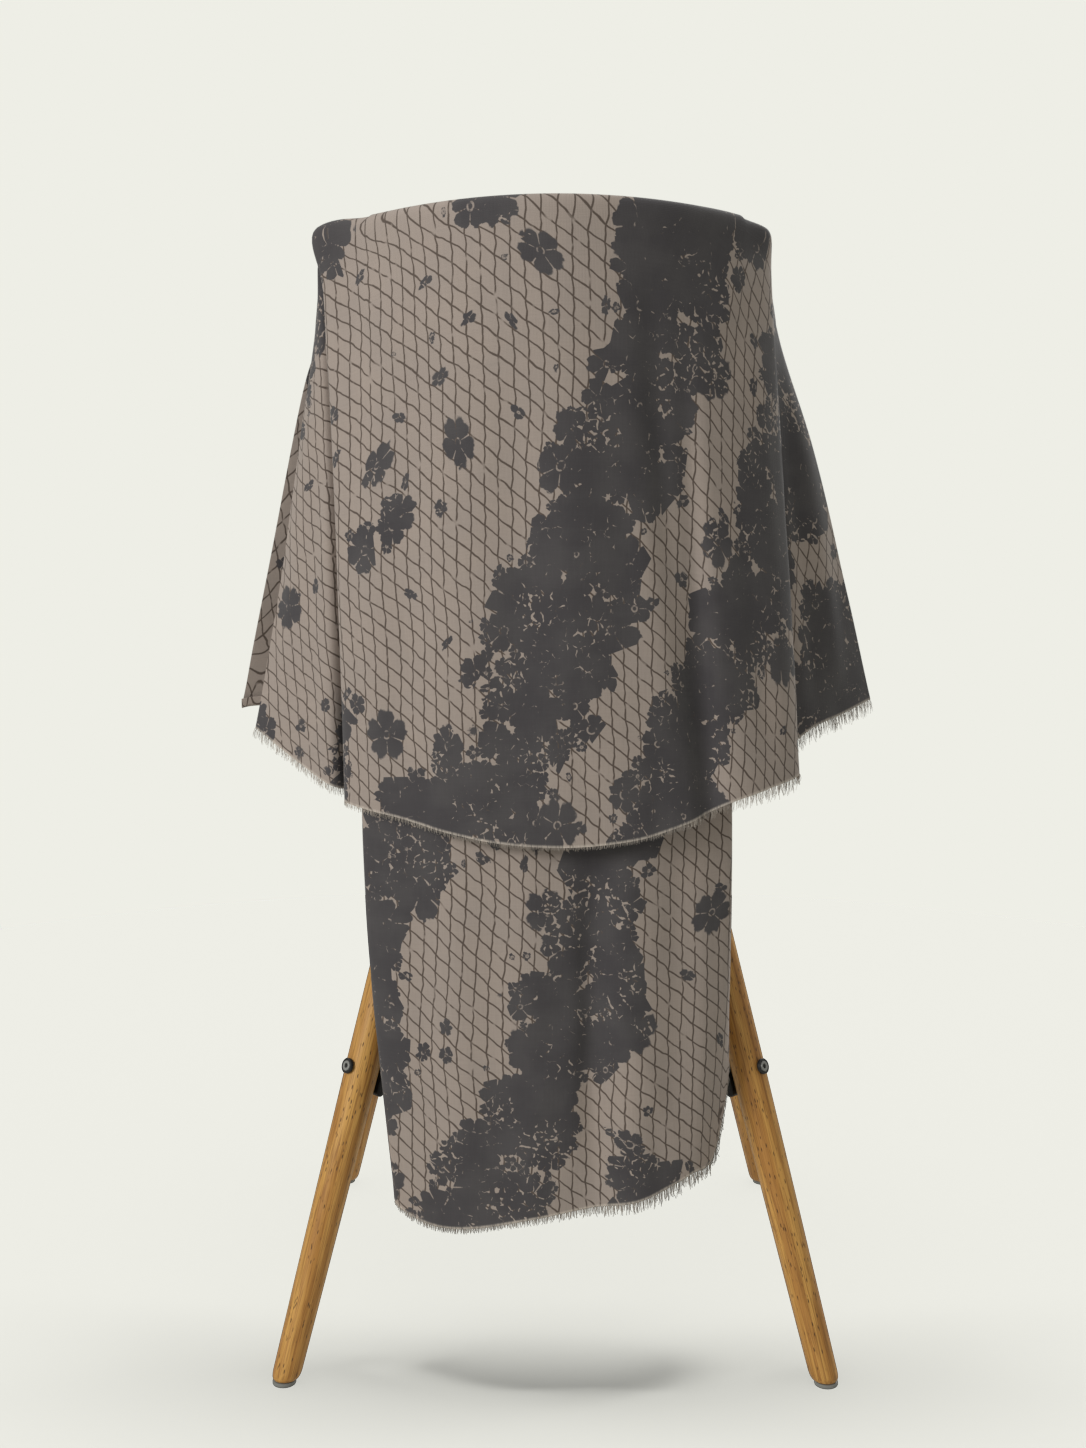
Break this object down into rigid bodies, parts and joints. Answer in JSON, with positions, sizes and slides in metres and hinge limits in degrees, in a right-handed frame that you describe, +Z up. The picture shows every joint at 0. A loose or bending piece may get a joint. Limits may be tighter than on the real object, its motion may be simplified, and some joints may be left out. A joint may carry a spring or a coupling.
{
  "type": "hijab shawl draped over a shell side chair",
  "caption": "Printed frayed-edge hijab shawl folded double over the back of a moulded shell side chair on splayed round wooden legs with flat steel struts.",
  "frame": {"origin": "on the floor, under the middle of the chair and the cloth together", "axes": "+Z up; the chair faces +Y, so the two falls of the shawl that the picture shows hang on the -Y side; +X is to the right as seen from that side"},
  "size_m": [0.4922, 0.4387, 0.8507],
  "materials": {
    "shawl_outer": "matte light plain weave, taupe with a dark flower and net print",
    "shawl_inner": "matte light plain weave, taupe with a dark flower and net print",
    "shawl_fringe": "loose frayed threads, pale taupe",
    "shell": "fine matte moulding",
    "oak": "satin oiled oak with open dark pores",
    "glide": "grey nylon",
    "bolt": "black oxide, bright socket",
    "brace": "black powder coat"
  },
  "bodies": {
    "root": {"shawl_outer_layer": "shawl_outer", "shawl_inner_layer": "shawl_inner", "outer_fringe_left_wing": "shawl_fringe", "outer_fringe_left": "shawl_fringe", "outer_fringe_middle": "shawl_fringe", "outer_fringe_right": "shawl_fringe", "outer_fringe_right_wing": "shawl_fringe", "inner_fringe_left": "shawl_fringe", "inner_fringe_right": "shawl_fringe", "seat_shell": "shell", "leg_near_left": "oak", "leg_near_right": "oak", "leg_far_left": "oak", "leg_far_right": "oak", "glide_near_left": "glide", "glide_near_right": "glide", "glide_far_left": "glide", "glide_far_right": "glide", "bolt_near_left": "bolt", "bolt_near_right": "bolt", "bolt_far_left": "bolt", "bolt_far_right": "bolt", "strut_near_left": "brace", "strut_near_right": "brace", "strut_far_left": "brace", "strut_far_right": "brace", "hub_plate": "brace"}
  },
  "joints": []
}
